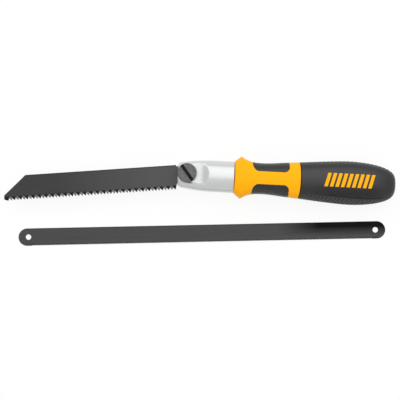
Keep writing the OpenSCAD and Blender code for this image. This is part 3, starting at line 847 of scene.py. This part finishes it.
# How near the slot's sides, and how far within its height, a face lies to take the slot's painted shade
SLOT_SIDE_ROOM, SLOT_END_ROOM = 0.05, 0.1
NUT_CORNER, CORNER_SLOPE, NUT_REACH = 0.1, 1.7, 4.3
SCREW_CELL, SCREW_CELL_UP, SCREW_HEAD_CELL_UP, NUT_CELL = 0.17, 0.14, 0.15, 0.16


def slot_side(x, y):
    """Distance outside the coin slot, square to it."""
    return np.abs(along_across(x, y, SLOT_TURN)[1]) - SLOT_W / 2


def clamp_screw():
    """Screw with a bevelled head, a coin slot and a thread below its plain neck."""
    top = SEAT_Z + SCREW_HEAD_T

    def field(x, y, z):
        r = from_axis(x, y)
        head = smooth_max(r - SCREW_HEAD_R, np.maximum(z - top, SEAT_Z - z), HEAD_BEVEL)
        turn = (z - TIP_Z) / THREAD_PITCH - np.arctan2(y - CLAMP_UP, x) / (2 * math.pi)
        ridge = np.abs((turn % 1) - 0.5) * 2
        groove = fade(SEAT_Z - z, NECK_LEN, THREAD_START) * (1 - ridge) ** THREAD_POWER
        shank = smooth_max(r - SCREW_R + THREAD_DEEP * groove, TIP_Z - z, TIP_BEVEL)
        shank = np.maximum(shank, z - SEAT_Z - SCREW_HEAD_T / 5)
        slot = smooth_max(slot_side(x, y), top - SLOT_DEEP - z, SLOT_SOFT)
        return cut(np.minimum(head, shank), slot, SLOT_EDGE_SOFT)

    side = grid_steps((-SCREW_HEAD_R - NET_ROOM, SCREW_HEAD_R + NET_ROOM, SCREW_CELL))
    under_head = SEAT_Z - NET_ROOM
    heights = grid_steps((TIP_Z - NET_ROOM, under_head, SCREW_CELL_UP),
                         (under_head, top + NET_ROOM, SCREW_HEAD_CELL_UP))
    verts, faces = surface_net(field, side, side + CLAMP_UP, heights)
    x, y, z = verts[np.array(faces)].mean(1).T
    # Faces in the slot take the painted shade
    in_slot = slot_side(x, y) < SLOT_SIDE_ROOM
    in_slot &= (z > top - SLOT_DEEP - SLOT_END_ROOM) & (z < top - SLOT_END_ROOM)
    new_piece("coin_slot_screw", verts, faces, [BLACKENED, SLOT_SHADE],
              "screw", "blackened_steel", "clamp_screw", sharp=60, face_materials=in_slot)


def spring_washer():
    """Split ring with chamfered edges, cut square at the split."""
    gap = math.asin(WASHER_SPLIT / 2 / WASHER_R)
    rs = (SCREW_HOLE_R, SCREW_HOLE_R + WASHER_EDGE, WASHER_R - WASHER_EDGE, WASHER_R)
    hs = (0, WASHER_EDGE, WASHER_T - WASHER_EDGE, WASHER_T)
    profile = [(rs[i], hs[j]) for i, j in ((1, 0), (2, 0), (3, 1), (3, 2), (2, 3), (1, 3), (0, 2), (0, 1))]
    rings = [[(r * math.cos(a), CLAMP_UP + r * math.sin(a), POCKET_FLOOR + h) for r, h in profile]
             for a in np.linspace(gap, 2 * math.pi - gap, 73)]
    new_piece("split_washer", *loft(rings), [ZINC], "washer", "zinc_steel", "spring_washer")


def captive_nut():
    """Hexagonal nut with chamfered corners and mouths."""
    low, high = TIP_Z, TIP_Z + NUT_T - SEAT_GAP

    def field(x, y, z):
        r = from_axis(x, y)
        past_face = np.maximum(low - z, z - high)
        chamfer = (r - NUT_FLATS / 2 - NUT_CORNER + (past_face + NUT_CHAMFER) * CORNER_SLOPE) / 2
        body = smooth_max(np.maximum(nut_outline(x, y) + SEAT_GAP, chamfer), past_face, NUT_SOFT)
        mouth = r - NUT_BORE_R - np.maximum(0, past_face + MOUTH_CHAMFER)
        return cut(body, mouth, NUT_SOFT)

    side = grid_steps((-NUT_REACH, NUT_REACH, NUT_CELL))
    net = surface_net(field, side, side + CLAMP_UP, grid_steps((low - NET_ROOM, high + NET_ROOM, NUT_CELL)))
    new_piece("hex_nut", *net, [ZINC], "handle", "zinc_steel", "captive_nut", sharp=30)


# Wood blade; its coordinates have U along it from the clamp axis, V across it towards its back and W up

BLADE_REACH, NOSE_LEN, BLADE_BACK, BLADE_EDGE, NOSE_DROP, BLADE_T = 132.6, 16.1, 6.8, 11.0, 7.0, 1.27
SHOULDER_AT, TOOTH_START, TOOTH_PITCH, TOOTH_DEPTH, TOOTH_FACE_SHARE = 7.6, 9.0, 2.32, 1.75, 0.2
TANG_LEN, TANG_HALF, NOSE_BLUNT_SHARE = 23.0, 5.9, 0.75
SET_RISE, SET_OUT, EDGE_CHAMFER, GULLET_CUT, TIP_THIN_SHARE = 1.5, 0.32, 0.12, 0.12, 0.8
RIDGE_SHARE, RIDGE_RISE, RIDGE_ROOM, UP_LINE = 0.62, 1.0, 0.1, 0.6
# How dark the points are at the teeth's tips, along the line above them and in their gullets: blackened
# hardened steel with painted shade added
TIP_DARK, UP_DARK, GULLET_DARK = 1.0, 0.7, 0.6
LEAST_MITRE = 0.3
ROOT = -BLADE_EDGE + TOOTH_DEPTH
TOOTH_COUNT = math.floor((BLADE_REACH - TOOTH_START - TOOTH_PITCH / 2) / TOOTH_PITCH) + 1


def placed(points, turn, place):
    """Points of a blade turned in its plane and moved to its place."""
    c, s = math.cos(turn), math.sin(turn)
    return np.array(points) @ ((c, s, 0), (-s, c, 0), (0, 0, 1)) + place


def inset_loop(points, amounts):
    """Each point of a closed loop moved inwards by its amount."""
    p = np.array(points)
    edge = np.roll(p, -1, 0) - p
    area = np.sum(p[:, 0] * edge[:, 1] - p[:, 1] * edge[:, 0])
    normal = np.stack([-edge[:, 1], edge[:, 0]], -1) / np.linalg.norm(edge, axis=1)[:, None]
    both = (normal + np.roll(normal, 1, 0)) * np.sign(area)
    both /= np.maximum((both ** 2).sum(1) / 2, LEAST_MITRE)[:, None]
    return p + both * np.array(amounts)[:, None]


class Faces:
    """Points, faces, and each face's material and each point's shade, gathered piece by piece."""

    def __init__(self):
        self.verts, self.faces, self.kinds, self.dark = [], [], [], []

    def point(self, u, v, w, dark=0.0):
        self.verts.append((u, v, w))
        self.dark.append(dark)
        return len(self.verts) - 1

    def face(self, *corners, kind=0):
        self.faces.append(corners)
        self.kinds.append(kind)

    def strip(self, a, b):
        """Faces between two rows of as many points."""
        for corners in zip(a, a[1:], b[1:], b):
            self.face(*corners)


def bend_rise(u):
    """Height above the root line at which the teeth's set begins, lower under the slanted nose."""
    top = -NOSE_DROP + (BLADE_BACK + NOSE_DROP) * min(1, (u + BLADE_REACH) / NOSE_LEN)
    return min(SET_RISE, (top - ROOT) / 2)


def tooth_places(i):
    """Ridge, tip and right gullet of a tooth, counted from the shoulder."""
    tip = -(TOOTH_START + i * TOOTH_PITCH)
    left = tip - (1 - TOOTH_FACE_SHARE) * TOOTH_PITCH if i < TOOTH_COUNT - 1 else -BLADE_REACH
    right = tip + TOOTH_FACE_SHARE * TOOTH_PITCH
    return left + (right - left) * RIDGE_SHARE, tip, right


def wood_blade():
    """Plate, bent strip and teeth; each side of a tooth is either black or ground in two facets."""
    m = Faces()
    half, sides = BLADE_T / 2, (1, -1)
    last_u = tooth_places(0)[2]
    climb = (-SHOULDER_AT - last_u) / (-TANG_HALF - ROOT)

    def column(u, height):
        """Place at a height above the root line, on the column that starts there at u."""
        return (u + climb * height if u == last_u else u), ROOT + height

    # Plate above the teeth, with the open slot in its tang
    order = range(TOOTH_COUNT - 1, -1, -1)
    columns = [-BLADE_REACH, *(u for i in order for u in tooth_places(i)[::2])]
    bend = [column(u, bend_rise(u)) for u in columns]
    r = SCREW_HOLE_R
    slot = [(r * math.sin(t), -r * math.cos(t)) for t in np.linspace(0, -math.pi, 25)]
    edge = [(-SHOULDER_AT, -TANG_HALF), (TANG_LEN, -TANG_HALF), (TANG_LEN, -r), *slot, (TANG_LEN, r),
            (TANG_LEN, TANG_HALF), (-SHOULDER_AT, TANG_HALF), (-SHOULDER_AT, BLADE_BACK),
            (NOSE_LEN - BLADE_REACH, BLADE_BACK), (-BLADE_REACH, -NOSE_DROP)]
    loop = [*bend, *edge]
    chamfers = [0.0] * len(bend) + [EDGE_CHAMFER] * len(edge)
    faces, rims = {}, {}
    for side in sides:
        faces[side] = [m.point(u, v, side * half) for u, v in inset_loop(loop, chamfers)]
        rims[side] = [m.point(u, v, side * (half - drop)) for (u, v), drop in zip(loop, chamfers)]
        m.face(*faces[side])
    last = len(bend) - 1
    for a, b in ((faces[1], rims[1]), (faces[-1], rims[-1]), (rims[1], rims[-1])):
        m.strip([*a[last:], a[0]], [*b[last:], b[0]])

    # Teeth, set out in turn to either side below the bend
    roots, ups = {1: [], -1: []}, {1: [], -1: []}
    for u in columns[::2]:
        for side in sides:
            up = column(u, min(UP_LINE, bend_rise(u) / 2))
            ups[side].append(m.point(*up, side * half, UP_DARK))
            roots[side].append(m.point(u, ROOT, side * (half - GULLET_CUT), GULLET_DARK))
    for n, i in enumerate(order):
        middle, tip, right = tooth_places(i)
        out = SET_OUT if i % 2 == 0 else -SET_OUT
        height = min(RIDGE_RISE, bend_rise(middle) - RIDGE_ROOM)
        ridge_out = out * (SET_RISE - height) / (SET_RISE + TOOTH_DEPTH)
        tips = {}
        for side in sides:
            plain = side * out > 0
            thin = 0 if plain else TIP_THIN_SHARE * BLADE_T
            tips[side] = m.point(tip, -BLADE_EDGE, side * (half - thin) + out, TIP_DARK)
            ridge = m.point(middle, ROOT + height, side * half + ridge_out, TIP_DARK * plain)
            up, root = ups[side], roots[side]
            a, b, c = faces[side][2 * n:2 * n + 3]
            m.face(a, b, ridge, up[n])
            m.face(b, c, up[n + 1], ridge)
            m.face(up[n], ridge, tips[side], root[n], kind=not plain)
            m.face(ridge, up[n + 1], root[n + 1], tips[side], kind=not plain)
        if n == 0:
            blunt_v = -NOSE_DROP + (NOSE_DROP - BLADE_EDGE) * NOSE_BLUNT_SHARE
            blunt = {side: m.point(-BLADE_REACH, blunt_v, side * half) for side in sides}
            for side in sides:
                m.face(roots[side][0], tips[side], blunt[side])
            m.face(roots[1][0], roots[-1][0], blunt[-1], blunt[1])
            m.face(blunt[1], blunt[-1], tips[-1], tips[1])
        else:
            m.face(roots[1][n], roots[-1][n], tips[-1], tips[1], kind=1)
        m.face(roots[1][n + 1], roots[-1][n + 1], tips[-1], tips[1], kind=1)
    for k, end in ((0, 0), (-1, last)):
        m.face(faces[1][end], faces[-1][end], ups[-1][k], ups[1][k])
        m.face(ups[1][k], ups[-1][k], roots[-1][k], roots[1][k])
    verts = placed(m.verts, BLADE_DROOP, (0, CLAMP_UP, 0))
    new_piece("wood_cutting_blade", verts, m.faces, [BLADE, GROUND], "blade", "blade_steel", "wood_blade",
              sharp=18, face_materials=m.kinds, attributes={"dark": m.dark})


# Spare hacksaw blade; its W is the height above the table

HACK_MOUNT_LEN, HACK_END_LEN, HACK_W, HACK_T, HACK_HOLE_R = 254.0, 7.3, 12.7, 0.65, 2.0
HACK_PITCH, HACK_TOOTH, HACK_FACE_SHARE, HACK_EDGE = 1.06, 0.5, 0.2, 0.07
HACK_X, HACK_Y, HACK_TURN = 12.8, -41.5, math.radians(4.1)
HACK_BEND, HACK_WAVE, HACK_WAVE_LEN = 1.5, 0.22, 8.5
HACK_ARC_STEPS = 7


def spare_blade():
    """Flat blade with rounded ends, two holes and a row of small teeth set in waves."""
    m = Faces()
    r = HACK_W / 2
    end = HACK_MOUNT_LEN / 2 + HACK_END_LEN - r
    tooth_count = math.floor((HACK_MOUNT_LEN - 2 * HACK_HOLE_R) / HACK_PITCH)
    tooth_end = tooth_count * HACK_PITCH / 2
    root_v = HACK_TOOTH - r
    bend_v = root_v + HACK_BEND
    bend_turn = math.acos(-bend_v / r)
    turns = [*np.linspace(0, bend_turn, HACK_ARC_STEPS, endpoint=False),
             *np.linspace(bend_turn, math.pi / 2, HACK_ARC_STEPS, endpoint=False),
             *np.linspace(math.pi / 2, math.pi, 2 * HACK_ARC_STEPS)]
    right = [(end + r * math.sin(t), -r * math.cos(t)) for t in turns]
    outline = [(tooth_end, -r), *right, *((-u, v) for u, v in right[::-1]), (-tooth_end, -r)]
    chamfers = [0.0, *[HACK_EDGE] * (len(outline) - 2), 0.0]
    # Places in the outline of the bend's line and of the middle line, counted from either end
    bend_at, middle_at = HACK_ARC_STEPS + 1, 2 * HACK_ARC_STEPS + 1

    def wave(u, share):
        """Sideways set of the teeth at u."""
        near_end = fade(tooth_end - abs(u), 0, HACK_WAVE_LEN)
        return share * HACK_WAVE * near_end * (1 + math.sin(2 * math.pi * u / HACK_WAVE_LEN)) / 2

    tips = [tooth_end - i * HACK_PITCH for i in range(tooth_count)]
    roots = [u - HACK_FACE_SHARE * HACK_PITCH for u in tips]
    root_share = HACK_BEND / (HACK_BEND + HACK_TOOTH)
    walls = []
    for side, w in ((1, HACK_T), (-1, 0.0)):
        rim = [m.point(u, v, w) for u, v in inset_loop(outline, chamfers)]
        wall = [m.point(u, v, w - side * drop) for (u, v), drop in zip(outline, chamfers)]
        bend = [m.point(u, bend_v, w) for u in (tooth_end, *roots, -tooth_end)]
        root = [m.point(u, root_v, w + wave(u, root_share)) for u in roots]
        tip = [m.point(u, -r, w + wave(u, 1)) for u in tips]
        holes, bores = {}, []
        for end_side, up in ((1, 1), (1, -1), (-1, 1), (-1, -1)):
            middle = end_side * HACK_MOUNT_LEN / 2
            chamfer, bore = (
                [m.point(middle + size * math.cos(t), up * size * math.sin(t), height)
                 for t in np.linspace(0, math.pi, 25)]
                for size, height in ((HACK_HOLE_R + HACK_EDGE, w), (HACK_HOLE_R, w - side * HACK_EDGE)))
            m.strip(chamfer, bore)
            holes[end_side, up] = chamfer
            bores.append(bore)
        m.face(*rim[bend_at:middle_at + 1], *holes[1, -1], *holes[-1, -1],
               *rim[-middle_at - 1:-bend_at], *bend[::-1])
        m.face(*rim[middle_at:-middle_at], *holes[-1, 1][::-1], *holes[1, 1][::-1])
        m.face(bend[0], wall[0], *rim[1:bend_at + 1])
        m.face(bend[-1], *rim[-bend_at - 1:-1], wall[-1])
        m.face(bend[0], bend[1], root[0], tip[0])
        for i in range(1, tooth_count):
            m.face(bend[i], bend[i + 1], root[i], root[i - 1])
            m.face(root[i - 1], root[i], tip[i])
        m.face(bend[-2], bend[-1], wall[-1], root[-1])
        m.strip(rim, wall)
        teeth = [*(spot for pair in zip(tip, root) for spot in pair), wall[-1]]
        walls.append([wall, teeth, *bores])
    for a, b in zip(*walls):
        m.strip(a, b)
    verts = placed(m.verts, HACK_TURN, (HACK_X, HACK_Y, -HANDLE_PLACE[2]))
    new_piece("spare_blade_steel", verts, m.faces, [HACKSAW],
              "spare", "hacksaw_steel", "spare_hacksaw_blade", sharp=18)


# The view: the camera stands over the table and the photograph's frame is 400 by 400

FRAME_PX, TABLE_MM_PER_PX, SENSOR_MM = 400, 0.734, 36.0
CAMERA_DISTANCE, VIEW_TARGET = 700.0, (0.75, 3.62, 0.0)
VIEW_TURN, VIEW_TILT = math.radians(2.9), math.radians(2.4)
# In metres: nearest and farthest thing that the camera sees, and the floor's reach to each side
CLIP_START, CLIP_END, FLOOR_REACH = 0.05, 20, 6.0
LIGHT_AIM, WORLD_STRENGTH = Vector((0, 0, 0.01)), 0.75


def make_camera():
    data = bpy.data.cameras.new("camera")
    data.sensor_width = SENSOR_MM
    data.lens = SENSOR_MM * (CAMERA_DISTANCE / TABLE_MM_PER_PX) / FRAME_PX
    data.clip_start, data.clip_end = CLIP_START, CLIP_END
    camera = in_scene("camera", data)
    turn = Matrix.Rotation(VIEW_TURN, 4, "Z") @ Matrix.Rotation(VIEW_TILT, 4, "X")
    place = Vector(VIEW_TARGET) + turn @ Vector((0, 0, CAMERA_DISTANCE))
    camera.matrix_world = Matrix.Translation(place * MM) @ turn
    bpy.context.scene.camera = camera


def area_light(name, place, size, power, in_reflections=True):
    """A softbox that faces the part; place and size are in metres, power in watts."""
    data = bpy.data.lights.new(name, "AREA")
    data.shape = "RECTANGLE"
    data.size, data.size_y = size
    data.energy = power
    light = in_scene(name, data)
    light.location = place
    light.visible_glossy = in_reflections
    light.rotation_euler = (LIGHT_AIM - Vector(place)).to_track_quat("-Z", "Y").to_euler()


def make_lights():
    world = bpy.data.worlds.new("studio")
    world.use_nodes = True
    background = world.node_tree.nodes["Background"].inputs
    background["Color"].default_value = (1, 1, 1, 1)
    background["Strength"].default_value = WORLD_STRENGTH
    bpy.context.scene.world = world
    area_light("key_softbox", (0.0, 0.5, 0.87), (1.4, 1.2), 6.6)
    area_light("fill_softbox", (0.0, -0.75, 0.3), (1.2, 0.4), 0.5, in_reflections=False)


def make_floor():
    corners = [(x * FLOOR_REACH, y * FLOOR_REACH, 0) for x, y in ((-1, -1), (1, -1), (1, 1), (-1, 1))]
    mesh = bpy.data.meshes.new("table_top")
    mesh.from_pydata(corners, [], [(0, 1, 2, 3)])
    mesh.materials.append(white_table())
    obj = in_scene("table_top", mesh)


YELLOW, RUBBER, CAST = yellow_plastic(), dark_rubber(), cast_aluminium()
BLADE, GROUND, HACKSAW = blade_steel(), ground_steel(), hacksaw_steel()
BLACKENED, SLOT_SHADE, ZINC = blackened_steel(), painted_slot_shade(), zinc_steel()
make_camera()
make_lights()
make_floor()
handle_core()
for side in (1, -1):
    finger_pad(side)
    badge(side)
palm_grip()
clamp_head()
clamp_screw()
spring_washer()
captive_nut()
wood_blade()
spare_blade()

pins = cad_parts["head_dowel_pins"]
pins.data.materials.clear()
pins.data.materials.append(ZINC)

bpy.context.scene.view_settings.view_transform = "Standard"
